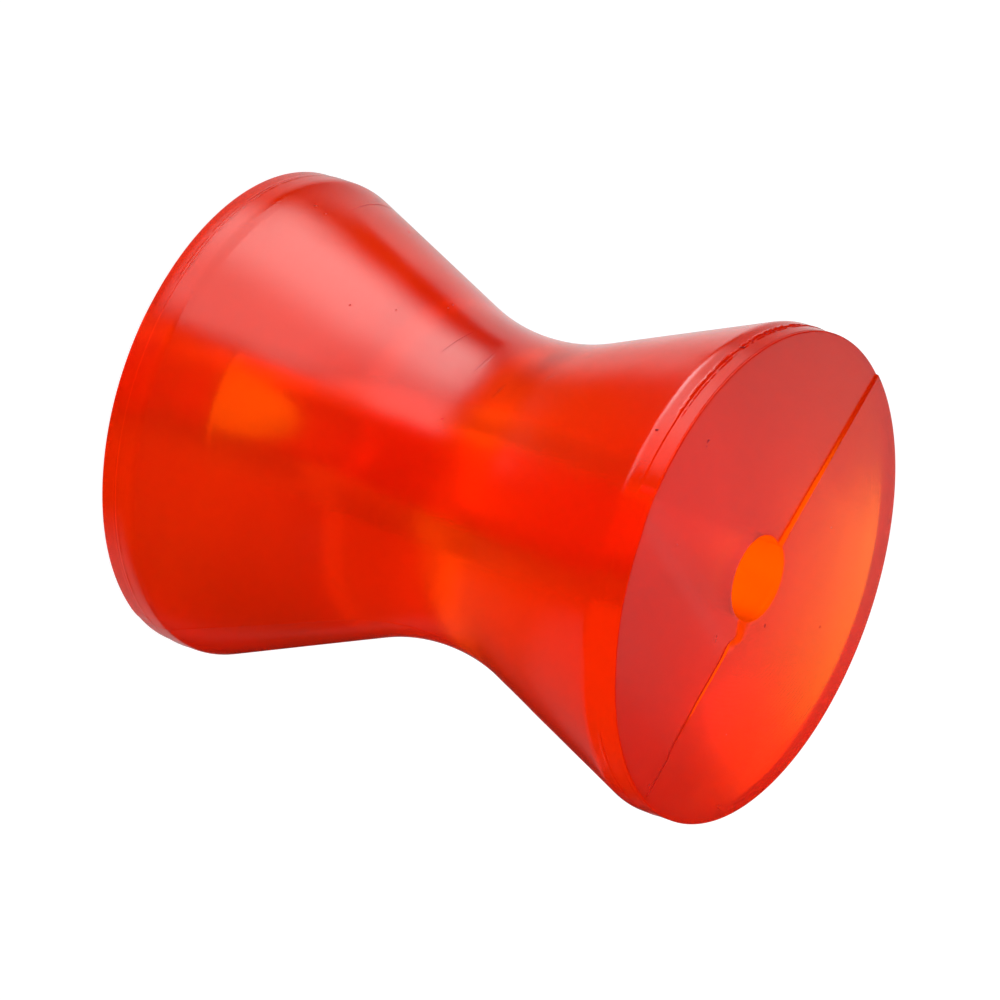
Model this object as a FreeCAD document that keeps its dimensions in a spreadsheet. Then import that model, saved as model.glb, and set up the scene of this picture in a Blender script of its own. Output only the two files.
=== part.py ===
"""Boat trailer bow roller: one polyurethane casting with a hollow waist, two rims and a plain bore.

The roller stands on its bottom end. The origin is the bore's axis on that end, +Z runs up the bore,
and the side mould parts on the plane Y = 0. All lengths are millimetres and all angles degrees.
"""
import FreeCAD, Part
import math
import os

import PartDesign
import Sketcher
from FreeCAD import Placement, Vector

NODE = "roller"

# Driving dimensions: name, value, what it measures
SIZES = [
    ("overall_length", 101.6, "over both ends, to the taller half of the top end"),
    ("end_diameter", 82.55, "over a rim"),
    ("waist_diameter", 53.2, "at the middle of the waist"),
    ("waist_arc_radius", 40.8, "of the hollow round the waist, in section"),
    ("rim_land_width", 5.6, "of the straight band round each rim"),
    ("shoulder_radius", 3.9, "of the round between a flank and its rim"),
    ("rim_corner_radius", 0.6, "of the edge between a rim and its end face"),
    ("bore_diameter", 14.29, "of the plain hole for the axle"),
    ("trim_step", 0.7, "that the -Y half of the top end lies below the +Y half"),
    ("step_offset_left", 1.0, "of the step from the plane Y = 0, on the -X side"),
    ("step_offset_right", 2.3, "of the step from the plane Y = 0, on the +X side"),
    ("tear_length", 3.6, "of the torn notch, from the bore's wall along the step"),
    ("tear_angle", 20.0, "between the notch's slanted side and the step"),
    ("seam_distance", 3.0, "from an end face to the seam of its mould plate"),
    ("seam_height", 0.15, "that the ring of flash on a seam stands proud"),
    ("side_flash_height", 0.1, "that the two lines of flash up the side stand proud"),
    ("side_flash_width", 0.4, "of a line of flash up the side"),
    ("side_flash_root", 1.0, "that a line of flash reaches into the waist"),
]

# Point positions on a piece of sketch geometry
START, END, CENTRE = 1, 2, 3
SKETCH_ORIGIN = (-1, START)


def make_sheet(doc):
    """The driving dimensions as a spreadsheet: name, value, meaning."""
    sheet = doc.addObject("Spreadsheet::Sheet", "Sizes")
    for row, (name, value, meaning) in enumerate(SIZES, start=1):
        sheet.set("A%d" % row, name)
        sheet.set("B%d" % row, str(value))
        sheet.set("C%d" % row, meaning)
        sheet.setAlias("B%d" % row, name)
    doc.recompute()
    return sheet


def origin_feature(body, role):
    """One of the body's own origin planes or axes."""
    return next(item for item in body.Origin.OriginFeatures if item.Role == role)


def new_sketch(body, name, plane):
    """An empty sketch on one of the body's origin planes."""
    sketch = body.newObject("Sketcher::SketchObject", name)
    sketch.AttachmentSupport = [(origin_feature(body, plane), "")]
    sketch.MapMode = "FlatFace"
    return sketch


def bind(sketch, constraint, expression):
    """Add a constraint whose value follows the spreadsheet."""
    index = sketch.addConstraint(constraint)
    sketch.setExpression("Constraints[%d]" % index, expression)


def join(sketch, first, second, kind="Coincident"):
    """Join two (piece, point) ends, plainly or in tangent."""
    sketch.addConstraint(Sketcher.Constraint(kind, first[0], first[1], second[0], second[1]))


def place_point(sketch, point, x_value, x_expression, y_value, y_expression):
    """Hold a (piece, point) at bound distances from the sketch's origin."""
    bind(sketch, Sketcher.Constraint("DistanceX", *SKETCH_ORIGIN, *point, x_value), x_expression)
    bind(sketch, Sketcher.Constraint("DistanceY", *SKETCH_ORIGIN, *point, y_value), y_expression)


def check_solved(sketch):
    """A sketch that the solver can't meet, or that can still move, is an error."""
    if sketch.solve() != 0:
        raise RuntimeError("sketch not solved: " + sketch.Name)
    if not sketch.FullyConstrained:
        raise RuntimeError("sketch not fully constrained: " + sketch.Name)


def draw_outline(sketch, size, proud, low, high, inner, expressions):
    """Draw the spool's half section as (radius, height), closed along the line radius = inner.

    The outline climbs a rim's land, rounds its shoulder, runs straight down the flank into the
    hollow of the waist and comes back up to the other rim the same way. proud moves it outwards
    along its whole length. expressions binds its sizes to the spreadsheet.
    """
    length = size["overall_length"]
    rim = size["end_diameter"] / 2 + proud
    shoulder = size["shoulder_radius"] + proud
    hollow = size["waist_arc_radius"] - proud
    land = size["rim_land_width"]
    hollow_centre = Vector(size["waist_diameter"] / 2 + size["waist_arc_radius"], length / 2, 0)
    low_centre = Vector(rim - shoulder, land, 0)
    high_centre = Vector(rim - shoulder, length - land, 0)

    # The flank is the line between the two circles that touches both
    reach = hollow_centre - low_centre
    slope = math.atan2(reach.y, reach.x) - math.acos((shoulder + hollow) / reach.Length)
    rising = Vector(math.cos(slope), math.sin(slope), 0)
    falling = Vector(math.cos(slope), -math.sin(slope), 0)

    corners = [
        Vector(inner, low, 0),
        Vector(rim, low, 0),
        Vector(rim, land, 0),
        low_centre + rising * shoulder,
        hollow_centre - rising * hollow,
        hollow_centre - falling * hollow,
        high_centre + falling * shoulder,
        Vector(rim, length - land, 0),
        Vector(rim, high, 0),
        Vector(inner, high, 0),
    ]

    def line(first, last):
        return sketch.addGeometry(Part.LineSegment(corners[first], corners[last]), False)

    def arc(centre, radius, first_angle, last_angle):
        circle = Part.Circle(centre, Vector(0, 0, 1), radius)
        return sketch.addGeometry(Part.ArcOfCircle(circle, first_angle, last_angle), False)

    low_end = line(0, 1)
    low_land = line(1, 2)
    low_shoulder = arc(low_centre, shoulder, 0, slope)
    low_flank = line(3, 4)
    waist = arc(hollow_centre, hollow, math.pi - slope, math.pi + slope)
    high_flank = line(5, 6)
    high_shoulder = arc(high_centre, shoulder, -slope, 0)
    high_land = line(7, 8)
    high_end = line(8, 9)
    inside = line(9, 0)

    join(sketch, (low_end, END), (low_land, START))
    join(sketch, (low_land, END), (low_shoulder, START), "Tangent")
    join(sketch, (low_shoulder, END), (low_flank, START), "Tangent")
    join(sketch, (low_flank, END), (waist, END), "Tangent")
    join(sketch, (waist, START), (high_flank, START), "Tangent")
    join(sketch, (high_flank, END), (high_shoulder, START), "Tangent")
    join(sketch, (high_shoulder, END), (high_land, START), "Tangent")
    join(sketch, (high_land, END), (high_end, START))
    join(sketch, (high_end, END), (inside, START))
    join(sketch, (inside, END), (low_end, START))
    for piece in (low_end, high_end):
        sketch.addConstraint(Sketcher.Constraint("Horizontal", piece))
    for piece in (low_land, inside, high_land):
        sketch.addConstraint(Sketcher.Constraint("Vertical", piece))
    sketch.addConstraint(Sketcher.Constraint("Vertical", low_land, END, high_land, START))
    sketch.addConstraint(Sketcher.Constraint("Equal", low_shoulder, high_shoulder))

    if inner == 0:
        join(sketch, (low_end, START), SKETCH_ORIGIN)
    else:
        place_point(sketch, (low_end, START), inner, expressions["inner"], low, expressions["low"])
    bind(sketch, Sketcher.Constraint("DistanceX", *SKETCH_ORIGIN, low_end, END, rim), expressions["rim"])
    bind(sketch, Sketcher.Constraint("DistanceY", *SKETCH_ORIGIN, low_land, END, land), "Sizes.rim_land_width")
    high_land_start = Sketcher.Constraint("DistanceY", *SKETCH_ORIGIN, high_land, START, length - land)
    bind(sketch, high_land_start, "Sizes.overall_length - Sizes.rim_land_width")
    bind(sketch, Sketcher.Constraint("DistanceY", inside, END, inside, START, high - low), expressions["height"])
    bind(sketch, Sketcher.Constraint("Radius", low_shoulder, shoulder), expressions["shoulder"])
    bind(sketch, Sketcher.Constraint("Radius", waist, hollow), expressions["hollow"])
    place_point(
        sketch,
        (waist, CENTRE),
        hollow_centre.x,
        "Sizes.waist_diameter / 2 + Sizes.waist_arc_radius",
        hollow_centre.y,
        "Sizes.overall_length / 2",
    )
    check_solved(sketch)


def add_spool(body, size):
    """The turned form: the closed half section swept once round the bore's axis."""
    sketch = new_sketch(body, "SpoolSection", "XZ_Plane")
    expressions = {
        "rim": "Sizes.end_diameter / 2",
        "height": "Sizes.overall_length",
        "shoulder": "Sizes.shoulder_radius",
        "hollow": "Sizes.waist_arc_radius",
    }
    draw_outline(sketch, size, 0, 0, size["overall_length"], 0, expressions)
    spool = body.newObject("PartDesign::Revolution", "Spool")
    spool.Profile = sketch
    spool.ReferenceAxis = (sketch, ["V_Axis"])
    spool.Angle = 360
    return spool


def add_seam_rings(body, size):
    """A thin ring of flash where each end plate of the mould met its sides."""
    sketch = new_sketch(body, "SeamSection", "XZ_Plane")
    rim = size["end_diameter"] / 2
    proud = size["seam_height"]
    top = size["overall_length"] - size["trim_step"]
    seams = [
        (size["seam_distance"], "Sizes.seam_distance"),
        (top - size["seam_distance"], "Sizes.overall_length - Sizes.trim_step - Sizes.seam_distance"),
    ]
    for level, level_expression in seams:
        root_low = Vector(rim - proud, level - 2 * proud, 0)
        crest = Vector(rim + proud, level, 0)
        root_high = Vector(rim - proud, level + 2 * proud, 0)
        lower = sketch.addGeometry(Part.LineSegment(root_low, crest), False)
        upper = sketch.addGeometry(Part.LineSegment(crest, root_high), False)
        back = sketch.addGeometry(Part.LineSegment(root_high, root_low), False)
        join(sketch, (lower, END), (upper, START))
        join(sketch, (upper, END), (back, START))
        join(sketch, (back, END), (lower, START))
        sketch.addConstraint(Sketcher.Constraint("Vertical", back))
        sketch.addConstraint(Sketcher.Constraint("Equal", lower, upper))
        place_point(
            sketch,
            (lower, END),
            crest.x,
            "Sizes.end_diameter / 2 + Sizes.seam_height",
            crest.y,
            level_expression,
        )
        place_point(
            sketch,
            (lower, START),
            root_low.x,
            "Sizes.end_diameter / 2 - Sizes.seam_height",
            root_low.y,
            level_expression + " - 2 * Sizes.seam_height",
        )
    check_solved(sketch)
    rings = body.newObject("PartDesign::Revolution", "SeamRings")
    rings.Profile = sketch
    rings.ReferenceAxis = (sketch, ["V_Axis"])
    rings.Angle = 360
    return rings


def add_side_flash(body, size):
    """Two lines of flash up the side, where the halves of the side mould met."""
    sketch = new_sketch(body, "SideFlashSection", "XZ_Plane")
    expressions = {
        "rim": "Sizes.end_diameter / 2 + Sizes.side_flash_height",
        "height": "Sizes.overall_length - Sizes.trim_step - 2 * Sizes.seam_distance",
        "shoulder": "Sizes.shoulder_radius + Sizes.side_flash_height",
        "hollow": "Sizes.waist_arc_radius - Sizes.side_flash_height",
        "inner": "Sizes.waist_diameter / 2 - Sizes.side_flash_root",
        "low": "Sizes.seam_distance",
    }
    low = size["seam_distance"]
    high = size["overall_length"] - size["trim_step"] - size["seam_distance"]
    inner = size["waist_diameter"] / 2 - size["side_flash_root"]
    draw_outline(sketch, size, size["side_flash_height"], low, high, inner, expressions)
    line = body.newObject("PartDesign::Pad", "SideFlash")
    line.Profile = sketch
    line.Midplane = True
    line.setExpression("Length", "Sizes.side_flash_width")
    both = body.newObject("PartDesign::PolarPattern", "SideFlashBothSides")
    both.Originals = [line]
    both.Axis = (origin_feature(body, "Z_Axis"), [""])
    both.Angle = 360
    both.Occurrences = 2
    body.Tip = both
    return both


def cut_bore(body, size):
    """The plain hole for the axle, right through."""
    sketch = new_sketch(body, "BoreCircle", "XY_Plane")
    sketch.setExpression("AttachmentOffset.Base.z", "Sizes.overall_length")
    circle = Part.Circle(Vector(0, 0, 0), Vector(0, 0, 1), size["bore_diameter"] / 2)
    wall = sketch.addGeometry(circle, False)
    join(sketch, (wall, CENTRE), SKETCH_ORIGIN)
    bind(sketch, Sketcher.Constraint("Diameter", wall, size["bore_diameter"]), "Sizes.bore_diameter")
    check_solved(sketch)
    bore = body.newObject("PartDesign::Pocket", "Bore")
    bore.Profile = sketch
    bore.Type = "ThroughAll"
    return bore


def cut_trimmed_half(body, size):
    """Lower the -Y half of the top end, with the jog in the step at the bore and the torn notch.

    The step runs along X on both sides of the bore, further from the parting plane on the +X side.
    There the notch opens from the bore: a triangle whose slanted side comes back to the step.
    """
    sketch = new_sketch(body, "TrimmedHalf", "XY_Plane")
    sketch.setExpression("AttachmentOffset.Base.z", "Sizes.overall_length")
    outside = size["end_diameter"]
    tip = size["bore_diameter"] / 2 + size["tear_length"]
    tip_expression = "(Sizes.bore_diameter / 2 + Sizes.tear_length)"
    notch = tip * math.tan(math.radians(size["tear_angle"]))
    left = size["step_offset_left"]
    right = size["step_offset_right"]
    far = "Sizes.end_diameter"
    near = "0 - Sizes.end_diameter"
    points = [
        (-outside, near, -outside, near),
        (outside, far, -outside, near),
        (outside, far, right, "Sizes.step_offset_right"),
        (tip, tip_expression, right, "Sizes.step_offset_right"),
        (0, None, right + notch, "Sizes.step_offset_right + %s * tan(Sizes.tear_angle * 1 deg)" % tip_expression),
        (0, None, left, "Sizes.step_offset_left"),
        (-outside, near, left, "Sizes.step_offset_left"),
    ]
    count = len(points)
    for index in range(count):
        here = points[index]
        there = points[(index + 1) % count]
        sketch.addGeometry(Part.LineSegment(Vector(here[0], here[2], 0), Vector(there[0], there[2], 0)), False)
    for index, (x_value, x_expression, y_value, y_expression) in enumerate(points):
        join(sketch, ((index - 1) % count, END), (index, START))
        if x_expression is None:
            # These two corners lie on the bore's centre plane
            sketch.addConstraint(Sketcher.Constraint("PointOnObject", index, START, -2))
        else:
            constraint = Sketcher.Constraint("DistanceX", *SKETCH_ORIGIN, index, START, x_value)
            bind(sketch, constraint, x_expression)
        bind(sketch, Sketcher.Constraint("DistanceY", *SKETCH_ORIGIN, index, START, y_value), y_expression)
    check_solved(sketch)
    step = body.newObject("PartDesign::Pocket", "TrimmedTop")
    step.Profile = sketch
    step.setExpression("Length", "Sizes.trim_step")
    return step


def rim_edges(shape, size):
    """Names of the edges where the rims meet the end faces."""
    levels = (0, size["overall_length"] - size["trim_step"], size["overall_length"])
    names = []
    for number, edge in enumerate(shape.Edges, start=1):
        curve = edge.Curve
        if not isinstance(curve, Part.Circle):
            continue
        on_rim = abs(curve.Radius - size["end_diameter"] / 2) < 1e-6
        if on_rim and any(abs(curve.Center.z - level) < 1e-6 for level in levels):
            names.append("Edge%d" % number)
    return names


def round_rim_corners(body, size, base):
    """Break the corner between each rim and its end face."""
    corners = body.newObject("PartDesign::Fillet", "RimCorners")
    corners.Base = (base, rim_edges(base.Shape, size))
    corners.setExpression("Radius", "Sizes.rim_corner_radius")
    return corners


def make_roller(doc, size):
    """The whole casting, feature by feature, with each feature's effect on the volume checked."""
    body = doc.addObject("PartDesign::Body", "Roller")
    body.Label = NODE
    volumes = []

    def settle(feature, grows):
        doc.recompute()
        volumes.append(feature.Shape.Volume)
        if len(volumes) > 1 and (volumes[-1] > volumes[-2]) != grows:
            raise RuntimeError("feature works the wrong way: " + feature.Name)
        return feature

    settle(add_spool(body, size), True)
    settle(add_seam_rings(body, size), True)
    settle(add_side_flash(body, size), True)
    settle(cut_bore(body, size), False)
    step = settle(cut_trimmed_half(body, size), False)
    settle(round_rim_corners(body, size, step), False)
    return body


def check_document(doc, bodies):
    """No object may be in error, and each body must be one valid solid."""
    for item in doc.Objects:
        if "Invalid" in item.State or "Error" in item.State:
            raise RuntimeError("%s is %s" % (item.Name, item.State))
    for body in bodies:
        shape = body.Shape
        if shape.isNull() or not shape.isValid() or len(shape.Solids) != 1:
            raise RuntimeError("bad solid: " + body.Label)


def main():
    doc = FreeCAD.newDocument("BowRoller")
    sheet = make_sheet(doc)
    size = {name: float(sheet.get(name)) for name, _, _ in SIZES}
    roller = make_roller(doc, size)
    roller.Placement = Placement()
    doc.recompute()
    check_document(doc, [roller])
    os.makedirs("parts", exist_ok=True)
    roller.Shape.exportStep("parts/%s.step" % roller.Label)
    box = roller.Shape.BoundBox
    print("%s: %.1f cm3, box %.2f x %.2f x %.2f mm" % (
        roller.Label, roller.Shape.Volume / 1000, box.XLength, box.YLength, box.ZLength))


main()
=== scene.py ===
"""Looks of the boat trailer roller: one casting of clear red-orange polyurethane.

The casting's surface is one closed mesh of rings and columns, swept round the bore's axis from the
same sizes as the solid. Lengths in this script are millimetres until the mesh is made.
"""
import math

import bpy
import numpy as np
from mathutils import Matrix, Vector


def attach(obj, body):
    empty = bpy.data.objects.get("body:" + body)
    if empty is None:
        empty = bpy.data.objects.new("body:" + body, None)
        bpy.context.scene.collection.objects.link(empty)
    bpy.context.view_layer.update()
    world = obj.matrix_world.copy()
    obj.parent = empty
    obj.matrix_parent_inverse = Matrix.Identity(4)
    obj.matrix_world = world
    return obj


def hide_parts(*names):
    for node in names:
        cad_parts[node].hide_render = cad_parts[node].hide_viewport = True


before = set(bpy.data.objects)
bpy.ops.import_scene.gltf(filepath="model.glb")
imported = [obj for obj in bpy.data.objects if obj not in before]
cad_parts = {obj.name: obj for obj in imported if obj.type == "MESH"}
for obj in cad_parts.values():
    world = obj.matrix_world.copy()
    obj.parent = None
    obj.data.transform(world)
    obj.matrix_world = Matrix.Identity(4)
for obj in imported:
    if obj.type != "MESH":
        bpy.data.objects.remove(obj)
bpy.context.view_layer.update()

MM = 0.001

# Sizes of the casting
LENGTH = 101.6
RIM_RADIUS = 82.55 / 2
WAIST_RADIUS = 53.2 / 2
HOLLOW_RADIUS = 40.8
LAND_WIDTH = 5.6
SHOULDER_RADIUS = 3.9
BORE_RADIUS = 14.29 / 2

# Roundings of the far end's moulded edge and of the near end's cut edge
CORNER_RADIUS = 0.6
CUT_RADIUS = 0.2

# The near end's trimmed half, the seams, and how far the caps beyond them stand back
TRIM_STEP = 0.7
SEAM_DISTANCE = 3.0
TOP_SEAM = LENGTH - TRIM_STEP - SEAM_DISTANCE
CAP_INSET = 0.15
CAP_RADIUS = RIM_RADIUS - CAP_INSET

# The near end lies this much below the casting's full length, so that the specks on it do not stand over
END_SINK = 0.03

# The step's foot across the near end: its Y at the axis for the left and the right part, its lean away
# from X, and how far its top edge lies behind it
STEP_LEFT = 1.0
STEP_RIGHT = 2.05
STEP_LEAN = math.tan(math.radians(0.9))
STEP_WALL = 0.12

# The step's height along X: deepest at the bore's left, and nothing beyond the kink on the right
STEP_PLACES = (-41, -8, 8, 11, 14, 24, 32.6, 41)
STEP_HEIGHTS = (0.4, 0.62, 0.65, 0.55, 0.35, 0.28, 0.05, 0.05)

# Distances from the step, in Y, of the columns that follow it, and how many lie before and behind it
STEP_COLUMNS = np.array([-2.4, -1.2, -0.5, -0.2, -0.06, 0, 0.03, 0.07, 0.12, 0.2, 0.5, 1.2, 2.4])
FRONT_COLUMNS = 350
BACK_COLUMNS = 220

# The front columns stand closer where the near seam's flash is: share of the columns, share of the turn
FRONT_SHARES = (0, 0.14, 0.72, 1)
FRONT_TURNS = (0, 0.184, 0.569, 1)

# Distances of the rows on both sides of a seam
SEAM_ROWS = (0.05, 0.16, 0.28, 0.4, 0.5, 0.8, 1.4)

# The seams by the angle round the bore in degrees: how far the cap stands back, how high the flash is
SEAM_ANGLES = (-180, -150, -144, -142, -99, -97, -80, -78, -71, -69, -57, -55, -22, -20, -11, -9, 40, 180)
NEAR_INSETS = (.10, .12, .15, .15, .15, .15, .13, .02, .03, .07, .07, .02, .02, .08, .08, .03, .08, .10)
NEAR_FLASH = (.04, .05, .16, .20, .18, .02, .02, 0, 0, .02, .02, 0, 0, .02, .02, 0, .05, .04)
FAR_ANGLES = (-180, -150, -126, -122, -101, -99, -94, -92, -85, -80, -60, -30, -5, 1, 3, 20, 60, 180)
FAR_INSETS = (.08, .10, .15, .15, .15, .15, .15, .15, .12, .04, .03, .08, .15, .15, .30, .22, .12, .08)
FAR_FLASH = (.03, .03, .10, .12, .14, .20, .20, .05, .02, 0, 0, .03, .04, .06, .03, .03, .04, .03)

# Seeds of the uneven values: the near and the far seam's flash, and the parting line
NEAR_SEED = 11
FAR_SEED = 23
PARTING_SEED = 5

# Marks on the surface: specks as place and radius, and fine scratches as angle and height at both ends
DARK_SPECKS = [
    ((-5.7, -34.4, 100.9), 0.34), ((-4.9, -34.0, 100.9), 0.2), ((3.8, 8.9, 101.6), 0.32),
    ((-5.4, 25.2, 101.6), 0.25), ((-1.9, -41.2, 95.9), 0.27), ((-33.2, -14.5, 19.0), 0.18),
    ((-26.9, -18.6, 27.7), 0.18), ((-10.3, -31.1, 27.5), 0.18), ((-13.6, -27.3, 33.2), 0.16),
    ((1.7, -26.5, 51.0), 0.2), ((-18.6, -36.8, 98.1), 0.22), ((-22.6, -34.4, 98.0), 0.42),
    ((-25.0, -32.7, 98.1), 0.2), ((-28.0, -30.2, 98.0), 0.26), ((-29.1, -29.1, 98.1), 0.2),
]
LIGHT_SPECKS = [
    ((-25.8, -29.9, 10.8), 0.26), ((-25.3, -29.2, 12.9), 0.22), ((-19.3, -21.2, 37.8), 0.18),
    ((-20.6, -20.1, 37.6), 0.16), ((12.6, -2.3, 100.9), 0.22), ((13.2, -2.0, 100.9), 0.2),
    ((30.2, 24.3, 101.6), 0.22), ((38.9, 1.2, 101.4), 0.22), ((-17.5, 12.4, 101.6), 0.14),
    ((21.3, 15.2, 101.6), 0.14), ((9.6, -27.1, 100.9), 0.14),
]
DARK_SCRATCHES = [
    ((-127.9, 44.5), (-110.6, 43.7)),
    ((-121.6, 51.0), (-107.3, 51.0)),
    ((-106.4, 57.9), (-99.3, 57.2)),
    ((-139.1, 13.9), (-165.0, 10.9)),
]
LIGHT_SCRATCHES = [
    ((-120.5, 51.4), (-108.2, 51.4)),
    ((-106.4, 58.1), (-99.3, 57.4)),
    ((-114.4, 66.0), (-106.5, 64.3)),
]

# Half the width of the scratches in the middle
DARK_SCRATCH_WIDE = 0.065
LIGHT_SCRATCH_WIDE = 0.045

# Specks given above these heights lie on the near end, and on the near seam's flash
FACE_MARKS_FROM = 100
SEAM_MARKS_FROM = 97.5

# How far specks stand out from the plain side, over its waves, and on the near seam with its flash
SPECK_LIFT = 0.035
SEAM_SPECK_LIFT = 0.15

# How finely the marks on the surface are divided
SPECK_SIDES = 8
SCRATCH_STEPS = 12
GROOVE_STEPS = 40

# Where the painted shade in the step's groove begins and ends in X
GROOVE_FIRST = 9.8
GROOVE_LAST = 40.2

# Camera, from the fit to the photograph
CAMERA_RADIUS = 0.9561
CAMERA_HEIGHT = 0.60561
CAMERA_AZIMUTH = math.radians(21.6)
CAMERA_YAW = 0.0013
CAMERA_PITCH = -0.5254
CAMERA_ROLL = 1.8958
FOCAL_PIXELS = 6736.5
FRAME_PIXELS = 1000
SENSOR_MM = 36

# Polyurethane: the colour of light that goes through its surface, what absorption leaves of light inside
# it, and the haze that scatters it there. The end was trimmed and is duller than the moulded side.
TINT = (1.0, 0.2, 0.0, 1)
CLEARNESS = 1.0
ABSORBED = (0.997, 0.78, 0.2, 1)
ABSORB_DENSITY = 150
HAZE = (1.0, 0.6, 0.3, 1)
HAZE_DENSITY = 30
HAZE_FORWARD = 0.8
GLOSS_ROUGHNESS = 0.18
FACE_ROUGHNESS = 0.24
DULL_ROUGHNESS = 0.05
REFRACTION = 1.57

# Marks: the colour of dust, which also paints the shade in the step's groove, and of scuffed material, and
# how clear each is
DUST_AND_GROOVE_SHADE = (1.0, 0.04, 0.02)
SCUFFS = (1.0, 0.5, 0.42)
DUST_AND_GROOVE_SHADE_CLEARNESS = 0.0
SCUFF_CLEARNESS = 1.0

# From here on lengths are metres, and angles are degrees round the object's axis

# The world's strength for plain light, in the casting's gloss, and through the casting by direction
WORLD_PLAIN = 0.5
WORLD_GLOSSY = 0.02
THROUGH_SIDES = 0.88
THROUGH_BACK = 1.9
THROUGH_CORNER = 0.25
THROUGH_FRONT = 2.2

# The floor: half its width, its level, its plain colour, that in the gloss, and its strength to the camera
FLOOR_HALF = 6.0
FLOOR_LEVEL = -0.0002
FLOOR_PALE = 0.25
FLOOR_PALE_GLOSSY = 0.02
FLOOR_SEEN = 0.95

# The floor's strength in the gloss of the casting
FLOOR_GLOSSY = 0.62
FLOOR_FAR_GLOSSY = 0.86
FLOOR_FOOT = 0.35
FLOOR_FAINT = 0.05

# The floor's strength through the casting
FLOOR_THROUGH = 1.2
FLOOR_UNDER = 0.3
FLOOR_BRIGHT = 0.35
FLOOR_FAR = 0.8
FLOOR_FRONT = 3.0
FLOOR_RIGHT = 0.7
FLOOR_SIDE = 0.35
FLOOR_BACK = 1.5

# The softbox, bent round the object's left; BOX_INSIDE is how much more of it shines into the casting
BOX_RADIUS = 0.1
BOX_HEIGHT = 0.085
BOX_FIRST = -178
BOX_LAST = -86
BOX_STRENGTH = 3.9
BOX_INSIDE = 2.0

# The low card, bent round the object's foot, and what turns its angles into the softbox's
LOW_RADIUS = 0.043
LOW_HEIGHT = 0.008
LOW_FIRST = -128
LOW_LAST = -79
LOW_STRENGTH = 2.4
LOW_TURN = 1.756
LOW_SHIFT = 55.2

# The back card, square to the way in which the near end mirrors the camera: that way, where it begins,
# how far out the card stands, half its width, and its strength in three parts
BACK_WAY = (-0.331, 0.819, 0.469)
BACK_START = (0, 0, 0.101)
BACK_DISTANCE = 0.25
BACK_HALF = 0.09
BACK_GLOSSY = 0.36
BACK_DARK = 0.03
BACK_TOP = 0.22

# The right card, which lies flat in the air: its reach in X and Y, its level and its strength
RIGHT_X = (0.042, 0.1)
RIGHT_Y = (-0.03, 0.07)
RIGHT_LEVEL = 0.046
RIGHT_GLOSSY = 0.15


def smooth(low, high, value):
    """0 below low, 1 above high, and a smooth rise between."""
    share = np.clip((value - low) / (high - low), 0, 1)
    return share * share * (3 - 2 * share)


def arc(centre_r, centre_z, radius, first, last, count):
    """Points of an arc in the half section, without its first point."""
    turns = np.radians(np.linspace(first, last, count + 1)[1:])
    return [(centre_r + radius * math.cos(turn), centre_z + radius * math.sin(turn)) for turn in turns]


def run(start, end, count, ends=1.0):
    """Points of a straight run without its first one, crowded to both ends where ends > 1."""
    steps = np.linspace(-1, 1, count + 1)[1:]
    steps = np.sign(steps) * (1 - (1 - np.abs(steps)) ** ends)
    return [tuple(np.array(start) + (np.array(end) - start) * (step + 1) / 2) for step in steps]


def side_section():
    """The outer side as (radius, height on the proud half), from the far end's edge to the near end's."""
    hollow_r = WAIST_RADIUS + HOLLOW_RADIUS
    shoulder_r = RIM_RADIUS - SHOULDER_RADIUS
    # The straight flank touches the shoulder's arc and the waist's
    slope_reach = np.array([hollow_r - RIM_RADIUS + SHOULDER_RADIUS, LENGTH / 2 - LAND_WIDTH])
    slope = math.atan2(slope_reach[1], slope_reach[0])
    slope -= math.acos((SHOULDER_RADIUS + HOLLOW_RADIUS) / np.hypot(*slope_reach))
    lean = math.degrees(slope)
    low_waist = (
        hollow_r - HOLLOW_RADIUS * math.cos(slope),
        LENGTH / 2 - HOLLOW_RADIUS * math.sin(slope),
    )
    high_flank = (
        shoulder_r + SHOULDER_RADIUS * math.cos(slope),
        LENGTH - LAND_WIDTH - SHOULDER_RADIUS * math.sin(slope),
    )
    rows = arc(CAP_RADIUS - CORNER_RADIUS, CORNER_RADIUS, CORNER_RADIUS, -90, 0, 6)
    rows += [(CAP_RADIUS, SEAM_DISTANCE - away) for away in SEAM_ROWS[::-1]]
    rows += [(RIM_RADIUS, SEAM_DISTANCE)]
    rows += [(RIM_RADIUS, SEAM_DISTANCE + away) for away in SEAM_ROWS]
    rows += [(RIM_RADIUS, LAND_WIDTH)]
    rows += arc(shoulder_r, LAND_WIDTH, SHOULDER_RADIUS, 0, lean, 5)
    rows += run(rows[-1], low_waist, 12)
    rows += arc(hollow_r, LENGTH / 2, HOLLOW_RADIUS, 180 + lean, 180 - lean, 16)
    rows += run(rows[-1], high_flank, 12)
    rows += arc(shoulder_r, LENGTH - LAND_WIDTH, SHOULDER_RADIUS, -lean, 0, 5)
    rows += [(RIM_RADIUS, TOP_SEAM - away) for away in SEAM_ROWS[::-1]]
    rows += [(RIM_RADIUS, TOP_SEAM)]
    rows += [(CAP_RADIUS, TOP_SEAM + away) for away in SEAM_ROWS]
    rows += [(CAP_RADIUS, LENGTH - 2.5 * CUT_RADIUS)]
    rows += [(CAP_RADIUS, LENGTH - CUT_RADIUS)]
    rows += arc(CAP_RADIUS - CUT_RADIUS, LENGTH - CUT_RADIUS, CUT_RADIUS, 0, 90, 6)
    return rows


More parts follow.
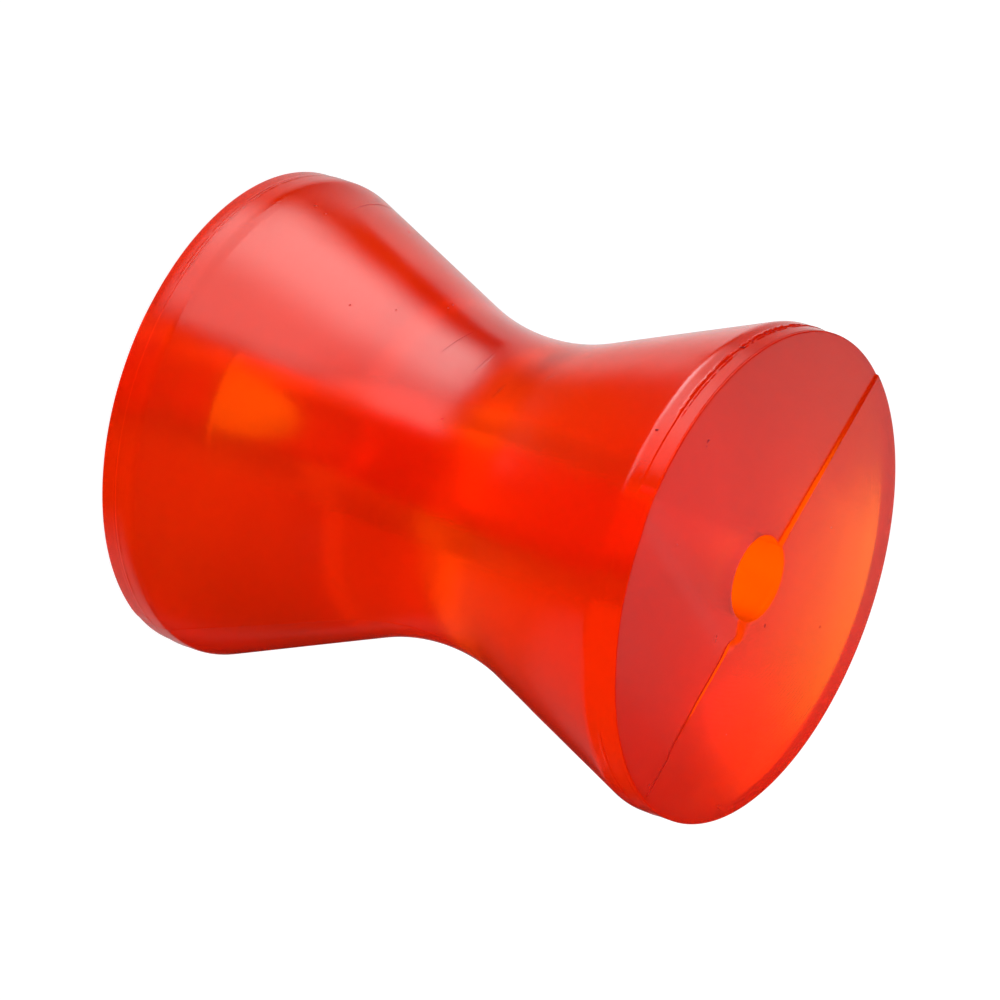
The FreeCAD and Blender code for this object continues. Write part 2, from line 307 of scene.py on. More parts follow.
def section():
    """The half section as (radius, height on the proud half), from the bore round to the bore."""
    rows = [(BORE_RADIUS, 0)]
    rows += run(rows[-1], (CAP_RADIUS - CORNER_RADIUS, 0), 14, 1.3)
    rows += side_section()
    rows += run(rows[-1], (BORE_RADIUS + 0.12, LENGTH), 34, 1.15)
    # The bore's mouth is a little rounded
    rows += [(BORE_RADIUS + 0.03, LENGTH - 0.02)]
    rows += [(BORE_RADIUS, LENGTH - 0.1)]
    rows += run(rows[-1], (BORE_RADIUS, 1), 12)
    rows += [(BORE_RADIUS, 0.2)]
    return np.array(rows)


def step_line(x):
    """Y of the step's foot across the near end, with the torn notch beside the bore."""
    left = STEP_LEFT - x * STEP_LEAN
    notch = 1.2 * smooth(7.5, 9.4, x) * (1 - smooth(9.6, 11.2, x)) - 0.6 * (1 - smooth(6.5, 8.2, x))
    bow = 0.35 * smooth(14, 24, x) + 0.35 * smooth(24, 30, x)
    kink = 0.4 * smooth(32.6, 33.2, x)
    right = STEP_RIGHT + x * STEP_LEAN + notch - bow + kink
    return np.where(x < 0, left, right)


def step_wall(x):
    """How far the step's top edge lies behind its foot: far in the torn notch, and near elsewhere."""
    top = STEP_RIGHT + 2.5 * (1 - smooth(9.2, 12.8, x))
    torn_width = np.clip(top - step_line(x), 0, None) * (1 - smooth(12, 12.8, x))
    return STEP_WALL + np.where(x < 0, 0, torn_width)


def column_angles(radius):
    """The columns' angles on a ring: close along the step at both sides and even between."""
    spread = STEP_COLUMNS * np.where(np.abs(STEP_COLUMNS) > 0.3, 0.3 + 0.7 * smooth(7, 20, radius), 1)
    right = np.zeros(len(spread))
    left = np.full(len(spread), math.pi)
    # The step's foot is not straight, so each round brings its columns nearer to it
    for _ in range(8):
        right = np.arcsin((step_line(radius * np.cos(right)) + spread) / radius)
        left = math.pi - np.arcsin((step_line(radius * np.cos(left)) + spread) / radius)
    left = left[::-1]
    back = np.linspace(right[-1], left[0], BACK_COLUMNS + 2)[1:-1]
    turns = np.interp(np.linspace(0, 1, FRONT_COLUMNS + 2)[1:-1], FRONT_SHARES, FRONT_TURNS)
    front = left[-1] + (right[0] + 2 * math.pi - left[-1]) * turns
    return np.concatenate([right, back, left, front])


def ragged(seed, knots, places):
    """Uneven values from 0 to 1 that run on smoothly between a number of knots."""
    values = np.random.default_rng(seed).random(knots)
    values[-1] = values[0]
    return np.interp(places % 1.0, np.linspace(0, 1, knots), values)


def torn(seed, angle):
    """The broken run of the flash round a seam: gaps, stubs and longer bits."""
    turn = angle / (2 * math.pi)
    bits = ragged(seed, 1000, turn) * 0.75 + ragged(seed + 1, 190, turn) * 0.4
    return np.clip((bits - 0.33) * 4, 0, 1)


def seam_shape(seed, angle, height, seam, upward, places, insets, flash):
    """How far one seam's cap and flash move the surface out, at an angle and a height in the section."""
    degrees = (np.degrees(angle) + 180) % 360 - 180
    past = (height - seam) * upward
    broken = torn(seed, angle)
    # The cap beyond the seam stands back by an amount that changes round the rim
    inset = np.interp(degrees, places, insets)
    cap = float(past > 0.01) * (CAP_INSET - inset)
    # A fine crease follows the seam, and the flash is a torn ribbon along it with two raised edges
    crease = -0.6 * inset * float(abs(past) < 0.01)
    ribbon = float(np.clip((0.48 - abs(past)) / 0.12, 0, 1)) * (0.1 if abs(past) < 0.2 else 1.0)
    return cap + crease + ribbon * broken * np.interp(degrees, places, flash)


def surface_offset(radius, height, angle, beyond):
    """How far the surface stands out from the plain section: seams, flash, parting line and waves."""
    out = np.zeros_like(angle)
    if radius > RIM_RADIUS - 5:
        rim = float(smooth(RIM_RADIUS - 5, RIM_RADIUS - 1, radius))
        if height > LENGTH / 2:
            seam = (NEAR_SEED, angle, height, TOP_SEAM, 1, SEAM_ANGLES, NEAR_INSETS, NEAR_FLASH)
        else:
            seam = (FAR_SEED, angle, height, SEAM_DISTANCE, -1, FAR_ANGLES, FAR_INSETS, FAR_FLASH)
        out += rim * seam_shape(*seam)
    # The mould's parting line runs up both sides, from one seam to the other
    along = ragged(PARTING_SEED, 90, height / LENGTH)
    parting = np.exp(-((beyond - 0.05) / 0.09) ** 2) * (0.03 + 0.05 * along)
    on_side = float(radius > WAIST_RADIUS - 1 and CORNER_RADIUS < height < LENGTH - CORNER_RADIUS)
    low = SEAM_DISTANCE + 0.6
    high = TOP_SEAM - 0.6
    out += on_side * float(smooth(low, low + 1, height) * (1 - smooth(high - 1, high, height))) * parting
    # The casting is a little uneven all over, least of all beside the bore
    outer = float(smooth(BORE_RADIUS + 8, RIM_RADIUS - 4, radius))
    waves = np.sin(3 * angle + height / 9.0) + 0.7 * np.sin(5 * angle - height / 6.1 + 1.3)
    waves += 0.5 * np.sin(11 * angle + height / 4.3 + 0.4)
    return out + 0.012 * outer * waves


def casting_points():
    """Every point of the casting as an array [row, column, xyz], in millimetres."""
    rows = section()
    points = []
    for radius, height in rows:
        angle = column_angles(radius)
        x = radius * np.cos(angle)
        y = radius * np.sin(angle)
        # The proud half stands a step above the trimmed one, and the cap beyond the seam takes up the step
        beyond = y - step_line(x)
        proud = smooth(0, step_wall(x), beyond)
        lowered = np.interp(x, STEP_PLACES, STEP_HEIGHTS)
        share = float(np.clip((height - (TOP_SEAM + 0.6)) / 2.0, 0, 1))
        z = height - (END_SINK + lowered * (1 - proud)) * share
        # The blade has left a fine groove at the foot of the step, and only that beyond the kink
        groove = 0.05 + 0.08 * smooth(11, 13, x)
        z -= groove * share * np.exp(-((beyond + 0.05) / 0.05) ** 2)
        grown = 1 + surface_offset(radius, height, angle, beyond) / radius
        points.append(np.stack([x * grown, y * grown, z], axis=1))
    return np.array(points)


def make_casting():
    """The closed surface: quads between rings and columns, joined round both ways."""
    points = casting_points()
    rings, columns, _ = points.shape
    ring = np.arange(rings)[:, None]
    column = np.arange(columns)[None, :]
    next_ring = (ring + 1) % rings
    next_column = (column + 1) % columns
    faces = np.stack([
        ring * columns + column,
        ring * columns + next_column,
        next_ring * columns + next_column,
        next_ring * columns + column,
    ], axis=2).reshape(-1, 4)
    mesh = bpy.data.meshes.new("roller_casting")
    mesh.from_pydata((points.reshape(-1, 3) * MM).tolist(), [], faces.tolist())
    mesh.shade_smooth()
    mesh.update()
    casting = bpy.data.objects.new("roller_casting", mesh)
    bpy.context.scene.collection.objects.link(casting)
    return casting


class Tree:
    """Short calls to build one node tree."""

    def __init__(self, owner):
        owner.use_nodes = True
        self.nodes = owner.node_tree.nodes
        self.links = owner.node_tree.links

    def plug(self, value, socket):
        """Link an output, or set a number or colour, on an input."""
        if isinstance(value, bpy.types.NodeSocket):
            self.links.new(value, socket)
        else:
            socket.default_value = value

    def add(self, kind, **inputs):
        """A new node of a kind, with its inputs given by name, spaces as underscores."""
        node = self.nodes.new("ShaderNode" + kind)
        for name, value in inputs.items():
            self.plug(value, node.inputs[name.replace("_", " ")])
        return node

    def math(self, operation, *values):
        """One step of arithmetic on numbers or outputs."""
        node = self.nodes.new("ShaderNodeMath")
        node.operation = operation
        for value, socket in zip(values, node.inputs):
            self.plug(value, socket)
        return node.outputs[0]

    def vector(self, operation, *values):
        """One step of vector arithmetic; a length is a number."""
        node = self.nodes.new("ShaderNodeVectorMath")
        node.operation = operation
        for value, socket in zip(values, node.inputs):
            self.plug(value, socket)
        return node.outputs["Value" if operation == "LENGTH" else "Vector"]

    def noise(self, place, scale, detail):
        """Soft noise from 0 to 1 at a place."""
        return self.add("TexNoise", Vector=place, Scale=scale, Detail=detail).outputs["Fac"]

    def rise(self, value, low, high, first=0.0, last=1.0):
        """A smooth rise from first at low to last at high."""
        node = self.add("MapRange", Value=value, From_Min=low, From_Max=high, To_Min=first, To_Max=last)
        node.interpolation_type = "SMOOTHSTEP"
        return node.outputs[0]

    def band(self, value, low, high, fall_low, fall_high):
        """1 between two smooth slopes, one that rises from low to high and one that falls after it."""
        return self.math("MULTIPLY", self.rise(value, low, high), self.rise(value, fall_low, fall_high, 1, 0))


def mark_piece(name, parts, material):
    """One mesh of small closed bodies, each given as points in millimetres and faces."""
    points = []
    faces = []
    for part_points, part_faces in parts:
        faces += [[len(points) + corner for corner in face] for face in part_faces]
        points += [tuple(value * MM for value in point) for point in part_points]
    mesh = bpy.data.meshes.new(name)
    mesh.from_pydata(points, [], faces)
    mesh.shade_smooth()
    mesh.materials.append(material)
    piece = bpy.data.objects.new(name, mesh)
    bpy.context.scene.collection.objects.link(piece)
    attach(piece, "root")


def side_radius(height):
    """Radius of the plain side at a height."""
    side = np.array(side_section())
    return float(np.interp(height, side[:, 1], side[:, 0]))


def trimmed_level(x):
    """Height of the near end's trimmed half."""
    return LENGTH - END_SINK - float(np.interp(x, STEP_PLACES, STEP_HEIGHTS))


def face_level(x, y):
    """Height of the near end at a place: the trimmed half lies a step below the proud one."""
    trimmed = y < float(step_line(np.array(x)))
    return trimmed_level(x) if trimmed else LENGTH - END_SINK


def speck(place, radius):
    """A flattened bead, sunk in the surface at a place."""
    place = Vector(place)
    if place.z > FACE_MARKS_FROM:
        outward = Vector((0, 0, 1))
        place.z = face_level(place.x, place.y)
    else:
        outward = Vector((place.x, place.y, 0)).normalized()
        proud = SEAM_SPECK_LIFT if place.z > SEAM_MARKS_FROM else SPECK_LIFT
        place = outward * (side_radius(place.z) + proud) + Vector((0, 0, place.z))
    side = outward.orthogonal().normalized()
    other = outward.cross(side)
    centre = place - outward * 0.03 * radius
    # Its top, its foot, and three uneven rings between them, as shares of the radius
    points = [tuple(centre + outward * 0.12 * radius), tuple(centre - outward * 0.4 * radius)]
    faces = []
    for width, rise in ((0.62, 0.09), (1.0, -0.06), (0.6, -0.3)):
        for index in range(SPECK_SIDES):
            turn = 2 * math.pi * index / SPECK_SIDES
            uneven = 1 + 0.22 * math.sin(2 * turn + 40 * place.x) + 0.1 * math.sin(3 * turn + 9 * place.y)
            flat = side * math.cos(turn) + other * math.sin(turn)
            points.append(tuple(centre + radius * (flat * width * uneven + outward * rise)))
    for index in range(SPECK_SIDES):
        after = (index + 1) % SPECK_SIDES
        top, middle, low = (2 + ring * SPECK_SIDES for ring in range(3))
        faces.append((0, top + index, top + after))
        faces.append((top + index, middle + index, middle + after, top + after))
        faces.append((middle + index, low + index, low + after, middle + after))
        faces.append((low + index, 1, low + after))
    return points, faces


def strip(points):
    """A thin closed body through points that come in rings of four: its points and faces."""
    faces = [(3, 2, 1, 0)]
    last = len(points) - 4
    for ring in range(0, last, 4):
        for corner in range(4):
            after = (corner + 1) % 4
            faces.append((ring + corner, ring + after, ring + 4 + after, ring + 4 + corner))
    faces.append((last, last + 1, last + 2, last + 3))
    return points, faces


def scratch(start, end, wide):
    """A thin raised line on the side, from one angle and height to another; wide is half its width."""
    points = []
    for step in np.linspace(0, 1, SCRATCH_STEPS):
        angle = math.radians(start[0] + (end[0] - start[0]) * step)
        height = start[1] + (end[1] - start[1]) * step
        radius = side_radius(height)
        taper = math.sin(math.pi * (0.04 + 0.92 * step)) ** 0.4
        for across, out in ((-wide, -0.02), (0, 0.3 * wide), (wide, -0.02), (0, -0.05)):
            reach = radius + out * taper
            points.append((reach * math.cos(angle), reach * math.sin(angle), height + across * taper))
    return strip(points)


def groove_shade_line(first, last):
    """A thin dark line of painted shade that fills the groove at the step's foot between two places in X."""
    points = []
    places = np.linspace(first, last, GROOVE_STEPS)
    for x, foot in zip(places, step_line(places)):
        level = trimmed_level(x)
        wide = 0.17 * min(1, (x - first + 0.4) / 2, (last + 0.2 - x) / 0.6)
        middle = foot - 0.06
        for across, up in ((-wide, -0.02), (0, 0.012), (wide, -0.02), (0, -0.09)):
            points.append((x, middle + across, level + up))
    return strip(points)


def mark_material(name, colour, clearness):
    """Dull colour for dust, for painted shade in the step's groove, and for scuffed places, a little uneven;
    clearness is how much light it lets in.
    """
    material = bpy.data.materials.new(name)
    tree = Tree(material)
    place = tree.vector("MULTIPLY", tree.add("TexCoord").outputs["Object"], (1 / MM, 1 / MM, 1 / MM))
    grain = tree.rise(tree.noise(place, 3.0, 1.0), 0.3, 0.7, 0.7, 1.0)
    shader = tree.nodes["Principled BSDF"]
    uneven = tree.vector("SCALE", colour)
    tree.plug(grain, uneven.node.inputs["Scale"])
    tree.plug(uneven, shader.inputs["Base Color"])
    shader.inputs["Roughness"].default_value = 0.5
    shader.inputs["Specular IOR Level"].default_value = 0.2
    shader.inputs["Transmission Weight"].default_value = clearness
    return material


def surface_height(tree, place, broad, on_face):
    """The fine relief in millimetres: faint turning marks on the trimmed end, orange peel elsewhere."""
    grain = tree.noise(place, 3.2, 0.0)
    relief = tree.math("MULTIPLY", grain, tree.math("MULTIPLY_ADD", on_face, -0.006, 0.014))
    relief = tree.math("MULTIPLY_ADD", broad, tree.math("MULTIPLY_ADD", on_face, -0.1, 0.1), relief)
    radius = tree.vector("LENGTH", tree.vector("MULTIPLY", place, (1, 1, 0)))
    turns = tree.math("SINE", tree.math("MULTIPLY_ADD", radius, 7.9, tree.math("MULTIPLY", broad, 6)))
    deep = tree.math("MULTIPLY", tree.rise(broad, 0.4, 0.6, 0.0005, 0.004), on_face)
    return tree.math("MULTIPLY_ADD", turns, deep, relief)


def polyurethane():
    """Clear red-orange polyurethane: glossy where it was moulded, duller where it was trimmed."""
    material = bpy.data.materials.new("clear_polyurethane")
    tree = Tree(material)
    place = tree.vector("MULTIPLY", tree.add("TexCoord").outputs["Object"], (1 / MM, 1 / MM, 1 / MM))
    height = tree.add("SeparateXYZ", Vector=place).outputs["Z"]
    on_face = tree.rise(height, 100.45, 100.7)
    shader = tree.nodes["Principled BSDF"]
    shader.inputs["Base Color"].default_value = TINT
    broad = tree.noise(place, 0.13, 0.0)
    dull = tree.math("MULTIPLY", broad, DULL_ROUGHNESS)
    least = GLOSS_ROUGHNESS - DULL_ROUGHNESS / 2
    rough = tree.math("MULTIPLY_ADD", on_face, FACE_ROUGHNESS - GLOSS_ROUGHNESS, least)
    tree.plug(tree.math("ADD", rough, dull), shader.inputs["Roughness"])
    bump = tree.add("Bump", Strength=1.0, Distance=MM, Height=surface_height(tree, place, broad, on_face))
    tree.plug(bump.outputs["Normal"], shader.inputs["Normal"])
    shader.inputs["Transmission Weight"].default_value = CLEARNESS
    shader.inputs["IOR"].default_value = REFRACTION
    absorption = tree.add("VolumeAbsorption", Color=ABSORBED, Density=ABSORB_DENSITY)
    haze = tree.add("VolumeScatter", Color=HAZE, Density=HAZE_DENSITY, Anisotropy=HAZE_FORWARD)
    both = tree.nodes.new("ShaderNodeAddShader")
    tree.links.new(absorption.outputs["Volume"], both.inputs[0])
    tree.links.new(haze.outputs["Volume"], both.inputs[1])
    tree.links.new(both.outputs[0], tree.nodes["Material Output"].inputs["Volume"])
    return material


def make_camera():
    """The photograph's viewpoint, with its roll, on a long lens."""
    pitch = CAMERA_PITCH
    yaw = CAMERA_YAW
    forward = Vector((math.sin(yaw) * math.cos(pitch), math.cos(yaw) * math.cos(pitch), math.sin(pitch)))
    right = forward.cross(Vector((0, 0, 1))).normalized()
    up = right.cross(forward)
    rolled_right = math.cos(CAMERA_ROLL) * right + math.sin(CAMERA_ROLL) * up
    rolled_up = math.cos(CAMERA_ROLL) * up - math.sin(CAMERA_ROLL) * right
    place = Matrix((rolled_right, rolled_up, -forward)).transposed().to_4x4()
    place.translation = Vector((0, -CAMERA_RADIUS, CAMERA_HEIGHT))
    data = bpy.data.cameras.new("camera")
    data.sensor_width = SENSOR_MM
    data.lens = FOCAL_PIXELS / FRAME_PIXELS * SENSOR_MM
    data.clip_end = 20
    camera = bpy.data.objects.new("camera", data)
    camera.matrix_world = Matrix.Rotation(CAMERA_AZIMUTH, 4, "Z") @ place
    bpy.context.scene.collection.objects.link(camera)
    bpy.context.scene.camera = camera


def make_world():
    """Pale surroundings: white to the camera, dim in the casting's gloss, and bright through it."""
    world = bpy.data.worlds.new("studio")
    tree = Tree(world)
    path = tree.add("LightPath")
    way = tree.add("SeparateXYZ", Vector=tree.add("TexCoord").outputs["Generated"])
    # Through the casting it is brighter behind the object, a little more so at its back left, and
    # brightest on the camera's side
    through = tree.rise(way.outputs["Y"], 0.3, 0.85, 0, THROUGH_BACK - THROUGH_SIDES)
    front = tree.rise(way.outputs["Y"], -0.75, -0.2, THROUGH_FRONT, THROUGH_SIDES)
    through = tree.math("ADD", through, front)
    corner = tree.math("SUBTRACT", way.outputs["Y"], way.outputs["X"])
    through = tree.math("ADD", through, tree.rise(corner, 1.13, 1.34, 0, THROUGH_CORNER))
    level = WORLD_PLAIN
    levels = [("Is Camera Ray", 1.0), ("Is Transmission Ray", through), ("Is Glossy Ray", WORLD_GLOSSY)]
    for kind, strength in levels:
        more = tree.math("SUBTRACT", strength, WORLD_PLAIN)
        level = tree.math("MULTIPLY_ADD", path.outputs[kind], more, level)
    background = tree.nodes["Background"]
    background.inputs["Color"].default_value = (1, 1, 1, 1)
    tree.plug(level, background.inputs["Strength"])
    # Rays find the world by chance, which is much faster here than aiming at it, and looks the same
    world.cycles.sampling_method = "NONE"
    bpy.context.scene.world = world


def position(tree):
    """The place on a surface, split into X, Y and Z."""
    return tree.add("SeparateXYZ", Vector=tree.add("NewGeometry").outputs["Position"])


def bearing(tree, place):
    """The angle of a place round the object's axis, in degrees."""
    return tree.math("DEGREES", tree.math("ARCTAN2", place.outputs["Y"], place.outputs["X"]))


def softbox_light(tree, place):
    """The softbox's light: strong low on the left, fading to both sides, weaker and flatter higher up."""
    angle = bearing(tree, place)
    low = tree.rise(angle, -131, -108, BOX_STRENGTH, 0.44 * BOX_STRENGTH)
    low = tree.math("MULTIPLY", low, tree.band(angle, -166, -144, -94, -86))
    high = tree.rise(angle, -163, -152, 0.25, 0.95)
    high = tree.math("ADD", high, tree.rise(angle, -139, -131, 0, 0.7))
    high = tree.math("MULTIPLY", high, tree.rise(angle, -114, -100, 1, 0.5))
    high = tree.math("MULTIPLY", high, tree.rise(angle, -97, -91, 1, 0))
    upward = tree.rise(place.outputs["Z"], 0.037, 0.052)
    light = tree.math("MULTIPLY_ADD", tree.math("SUBTRACT", high, low), upward, low)
    light = tree.math("MULTIPLY", light, tree.rise(place.outputs["Z"], 0.0, 0.006))
    # More of it shines in through the casting than shows in its gloss
    shines = tree.add("LightPath").outputs["Is Transmission Ray"]
    return tree.math("MULTIPLY", light, tree.math("MULTIPLY_ADD", shines, BOX_INSIDE - 1, 1))


def low_card_light(tree, place):
    """The same light on the low card, at the angles at which the lower rim mirrors it."""
    angle = tree.math("MULTIPLY_ADD", bearing(tree, place), LOW_TURN, LOW_SHIFT)
    light = tree.rise(angle, -138, -112, LOW_STRENGTH, 0.67 * LOW_STRENGTH)
    return tree.math("MULTIPLY", light, tree.rise(place.outputs["Z"], 0.0, 0.0025, 0.35, 1))


def low_card_cover(tree, place):
    """How much the low card hides of what is behind it: nothing at its two ends."""
    return tree.band(bearing(tree, place), -127, -112, -91, -80)


def back_card_light(tree, place):
    """The back card's light: dark where the end's lower right mirrors it, brightest at the end's top."""
    low = tree.math("MULTIPLY_ADD", place.outputs["Z"], -0.6775, 0.2187)
    low = tree.math("MULTIPLY_ADD", place.outputs["X"], 0.855, low)
    high = tree.math("MULTIPLY_ADD", place.outputs["Z"], 0.579, -0.0585)
    high = tree.math("MULTIPLY_ADD", place.outputs["X"], 0.82, high)
    light = tree.rise(low, 0.008, 0.03, BACK_GLOSSY, BACK_DARK)
    return tree.math("ADD", light, tree.rise(high, -0.036, 0, BACK_TOP, 0))


def right_card_light(tree, place):
    """The right card's light: none at its left edge."""
    return tree.rise(place.outputs["X"], RIGHT_X[0], RIGHT_X[0] + 0.01, 0, RIGHT_GLOSSY)


def right_card_cover(tree, place):
    """How much the right card hides of what is behind it: nothing at its left edge."""
    return tree.rise(place.outputs["X"], RIGHT_X[0], RIGHT_X[0] + 0.004)


def without_aim(material):
    """Rays find this light by chance, which is much faster here than aiming at it, and looks the same."""
    material.cycles.emission_sampling = "NONE"


def stage_piece(name, points, faces, material):
    """A piece of the studio."""
    mesh = bpy.data.meshes.new(name)
    mesh.from_pydata(points, [], faces)
    mesh.materials.append(material)
    piece = bpy.data.objects.new(name, mesh)
    bpy.context.scene.collection.objects.link(piece)
    return piece


def lit_beyond(tree, edge, near, far):
    """The lit floor's strength in the gloss, which rises over two stretches of the distance to its edge."""
    lit = tree.rise(edge, near[0], near[1], 0, FLOOR_GLOSSY)
    return tree.math("ADD", lit, tree.rise(edge, far[0], far[1], 0, FLOOR_FAR_GLOSSY - FLOOR_GLOSSY))


def floor_in_gloss(tree, path, place, reach):
    """The floor's strength in the gloss: it is lit behind the object's left side, and dark elsewhere."""
    x = place.outputs["X"]
    y = place.outputs["Y"]
    lit = lit_beyond(tree, tree.math("MULTIPLY_ADD", x, -0.4, y), (-0.012, 0.035), (0.035, 0.1))
    # Rays that come out of the casting count as gloss too. They find the lit part's edge farther forward,
    # and so does the gloss close to the object's foot.
    inner = lit_beyond(tree, tree.math("MULTIPLY_ADD", x, 0.37, y), (-0.062, -0.032), (-0.03, 0.02))
    lit = tree.math("MAXIMUM", lit, tree.math("MULTIPLY", inner, tree.rise(reach, 0.05, 0.06, 1, 0)))
    change = tree.math("SUBTRACT", inner, lit)
    lit = tree.math("MULTIPLY_ADD", path.outputs["Is Transmission Ray"], change, lit)
    lit = tree.math("MULTIPLY", lit, tree.band(x, -0.26, -0.12, -0.03, 0.02))
    # A bright rim of light lies round the object's foot on the right
    foot = tree.rise(reach, 0.0455, 0.048, FLOOR_FOOT, 0)
    foot = tree.math("MULTIPLY", foot, tree.rise(x, 0.0, 0.03))
    foot = tree.math("MULTIPLY", foot, tree.rise(y, -0.026, -0.012))
    lit = tree.math("ADD", lit, foot)
    # Farther out on the right a faint strip shows in the lower side
    faint = tree.math("MULTIPLY", tree.band(x, 0.045, 0.055, 0.066, 0.076), tree.rise(y, -0.02, 0.01))
    return tree.math("MULTIPLY_ADD", faint, FLOOR_FAINT, lit)


def floor_through(tree, place, reach):
    """The floor's strength through the casting."""
    x = place.outputs["X"]
    y = place.outputs["Y"]
    # It is dimmer at the object's back left, and bright again far out there
    back = tree.math("MULTIPLY_ADD", x, -0.82, tree.math("MULTIPLY", y, 0.57))
    through = tree.rise(back, 0.032, 0.046, FLOOR_THROUGH, FLOOR_SIDE)
    through = tree.math("ADD", through, tree.rise(back, 0.085, 0.12, 0, FLOOR_BACK - FLOOR_SIDE))
    # It is darkest under the object's back half, which begins farther back on the left
    under = tree.math("ADD", y, tree.rise(x, -0.025, 0, -0.012, 0))
    under = tree.math("MULTIPLY", tree.rise(reach, 0.036, 0.042, 1, 0), tree.rise(under, 0.0, 0.012))
    through = tree.math("MULTIPLY_ADD", under, FLOOR_UNDER - FLOOR_THROUGH, through)
    # Two brighter bands lie behind the object: one close to it on the right, and one farther back
    bright = tree.math("MULTIPLY", tree.band(y, 0.036, 0.05, 0.1, 0.13), tree.rise(x, -0.03, 0.0))
    through = tree.math("MULTIPLY_ADD", bright, FLOOR_BRIGHT, through)
    far = tree.band(y, 0.09, 0.11, 0.19, 0.24)
    far = tree.math("MULTIPLY", far, tree.band(x, -0.065, -0.035, 0.05, 0.08))
    through = tree.math("MULTIPLY_ADD", far, FLOOR_FAR, through)
    # It is brightest at the front left, beside the softbox, and dimmer far out on the right
    front = tree.band(bearing(tree, place), -162, -150, -118, -106)
    front = tree.math("MULTIPLY", front, tree.rise(reach, 0.05, 0.08))
    through = tree.math("MULTIPLY_ADD", front, FLOOR_FRONT - FLOOR_THROUGH, through)
    right = tree.math("ADD", x, y)
    return tree.math("ADD", through, tree.rise(right, 0.13, 0.17, 0, FLOOR_RIGHT - FLOOR_THROUGH))


def make_floor():
    """A white floor that keeps a faint shadow, and is lit in parts in the casting's gloss and through it."""
    material = bpy.data.materials.new("floor_white")
    tree = Tree(material)
    path = tree.add("LightPath")
    place = position(tree)
    reach = tree.vector("LENGTH", tree.add("NewGeometry").outputs["Position"])
    shader = tree.nodes["Principled BSDF"]
    # The object's own shadow and red light keep the floor near it dark in its gloss
    change = FLOOR_PALE_GLOSSY - FLOOR_PALE
    pale = tree.math("MULTIPLY_ADD", path.outputs["Is Glossy Ray"], change, FLOOR_PALE)
    colour = tree.add("CombineColor", Red=pale, Green=pale, Blue=pale)
    tree.plug(colour.outputs[0], shader.inputs["Base Color"])
    shader.inputs["Roughness"].default_value = 1.0
    shader.inputs["Specular IOR Level"].default_value = 0.0
    shader.inputs["Emission Color"].default_value = (1, 1, 1, 1)
    glow = tree.math("MULTIPLY", path.outputs["Is Glossy Ray"], floor_in_gloss(tree, path, place, reach))
    glow = tree.math("MULTIPLY_ADD", path.outputs["Is Camera Ray"], FLOOR_SEEN, glow)
    through = floor_through(tree, place, reach)
    glow = tree.math("MULTIPLY_ADD", path.outputs["Is Transmission Ray"], through, glow)
    tree.plug(glow, shader.inputs["Emission Strength"])
    without_aim(material)
    half = FLOOR_HALF
    corners = [(-half, -half), (half, -half), (half, half), (-half, half)]
    stage_piece("floor", [(x, y, FLOOR_LEVEL) for x, y in corners], [(0, 1, 2, 3)], material)


def glow_material(name, tree_light, tree_cover=None):
    """A light-giving surface whose strength comes from tree_light, clear where tree_cover is 0."""
    material = bpy.data.materials.new(name)
    tree = Tree(material)
    place = position(tree)
    shader = tree.add("Emission", Strength=tree_light(tree, place))
    if tree_cover:
        clear = tree.add("BsdfTransparent")
        glow = shader
        shader = tree.add("MixShader", Fac=tree_cover(tree, place))
        tree.links.new(clear.outputs[0], shader.inputs[1])
        tree.links.new(glow.outputs[0], shader.inputs[2])
    tree.links.new(shader.outputs[0], tree.nodes["Material Output"].inputs["Surface"])
    without_aim(material)
    return material


def only_in_gloss(piece, shines_in=False):
    """A card of light that the casting's gloss shows, and its inside too where it shines in."""
    piece.visible_camera = False
    piece.visible_diffuse = False
    piece.visible_transmission = shines_in
    piece.visible_volume_scatter = shines_in
    piece.visible_shadow = False


def make_curved_card(name, radius, height, first, last, light, cover=None, shines_in=False):
    """An upright card bent round the object from the first to the last angle."""
    columns = 24
    points = []
    for index in range(columns + 1):
        angle = math.radians(first + (last - first) * index / columns)
        for level in (0.0, height):
            points.append((radius * math.cos(angle), radius * math.sin(angle), level))
    faces = [(low, low + 2, low + 3, low + 1) for low in range(0, 2 * columns, 2)]
    material = glow_material(name + "_light", light, cover)
    only_in_gloss(stage_piece(name, points, faces, material), shines_in)


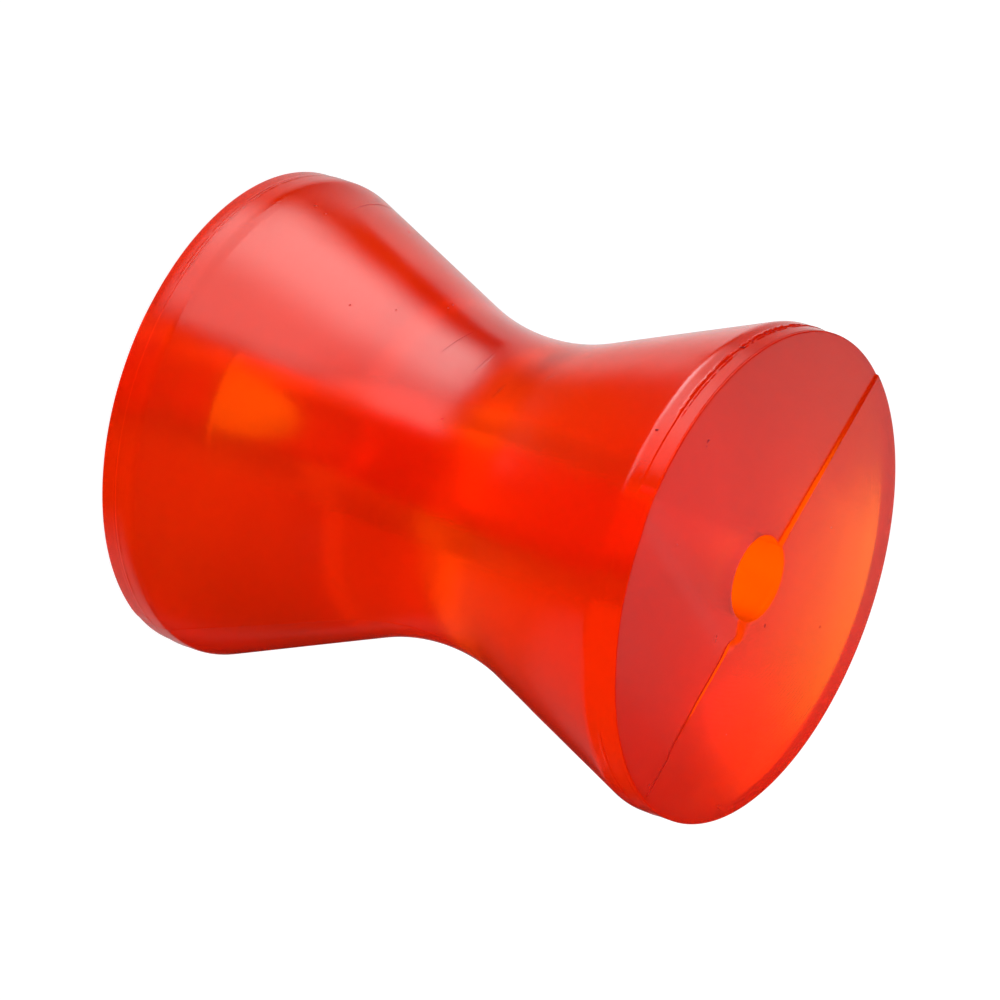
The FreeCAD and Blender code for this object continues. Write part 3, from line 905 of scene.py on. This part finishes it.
def make_back_card():
    """A flat card behind the object, square to the way in which the near end mirrors the camera."""
    way = Vector(BACK_WAY).normalized()
    side = way.cross(Vector((0, 0, 1))).normalized()
    upward = side.cross(way)
    centre = Vector(BACK_START) + BACK_DISTANCE * way
    points = []
    for across, up in ((-1, -1), (1, -1), (1, 1), (-1, 1)):
        points.append(tuple(centre + BACK_HALF * (across * side + up * upward)))
    material = glow_material("back_card_light", back_card_light)
    only_in_gloss(stage_piece("back_card", points, [(0, 1, 2, 3)], material))


def make_right_card():
    """A faint flat card low on the right, which only the near end's flank mirrors."""
    left, right = RIGHT_X
    front, back = RIGHT_Y
    corners = [(left, front), (right, front), (right, back), (left, back)]
    material = glow_material("right_card_light", right_card_light, right_card_cover)
    points = [(x, y, RIGHT_LEVEL) for x, y in corners]
    only_in_gloss(stage_piece("right_card", points, [(0, 1, 2, 3)], material))


casting = make_casting()
casting.data.materials.append(polyurethane())
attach(casting, "root")
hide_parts("roller")
dust_and_groove_shade = [speck(place, radius) for place, radius in DARK_SPECKS]
dust_and_groove_shade += [scratch(start, end, DARK_SCRATCH_WIDE) for start, end in DARK_SCRATCHES]
# Painted shade: a dark strip in the dust colour lies in the step's groove, where the groove shows only shade
dust_and_groove_shade.append(groove_shade_line(GROOVE_FIRST, GROOVE_LAST))
mark_piece("roller_specks_dark", dust_and_groove_shade, mark_material("dark_dust_and_groove_shade", DUST_AND_GROOVE_SHADE, DUST_AND_GROOVE_SHADE_CLEARNESS))
scuffs = [speck(place, radius) for place, radius in LIGHT_SPECKS]
scuffs += [scratch(start, end, LIGHT_SCRATCH_WIDE) for start, end in LIGHT_SCRATCHES]
mark_piece("roller_specks_light", scuffs, mark_material("light_scuffs", SCUFFS, SCUFF_CLEARNESS))
make_camera()
make_world()
make_floor()
make_curved_card("softbox", BOX_RADIUS, BOX_HEIGHT, BOX_FIRST, BOX_LAST, softbox_light, shines_in=True)
make_curved_card("low_card", LOW_RADIUS, LOW_HEIGHT, LOW_FIRST, LOW_LAST, low_card_light, low_card_cover)
make_back_card()
make_right_card()

# Light turns many times inside the clear casting before it comes out
cycles = bpy.context.scene.cycles
cycles.max_bounces = 32
cycles.glossy_bounces = 24
cycles.transmission_bounces = 32
cycles.volume_bounces = 12
bpy.context.scene.view_settings.view_transform = "Standard"
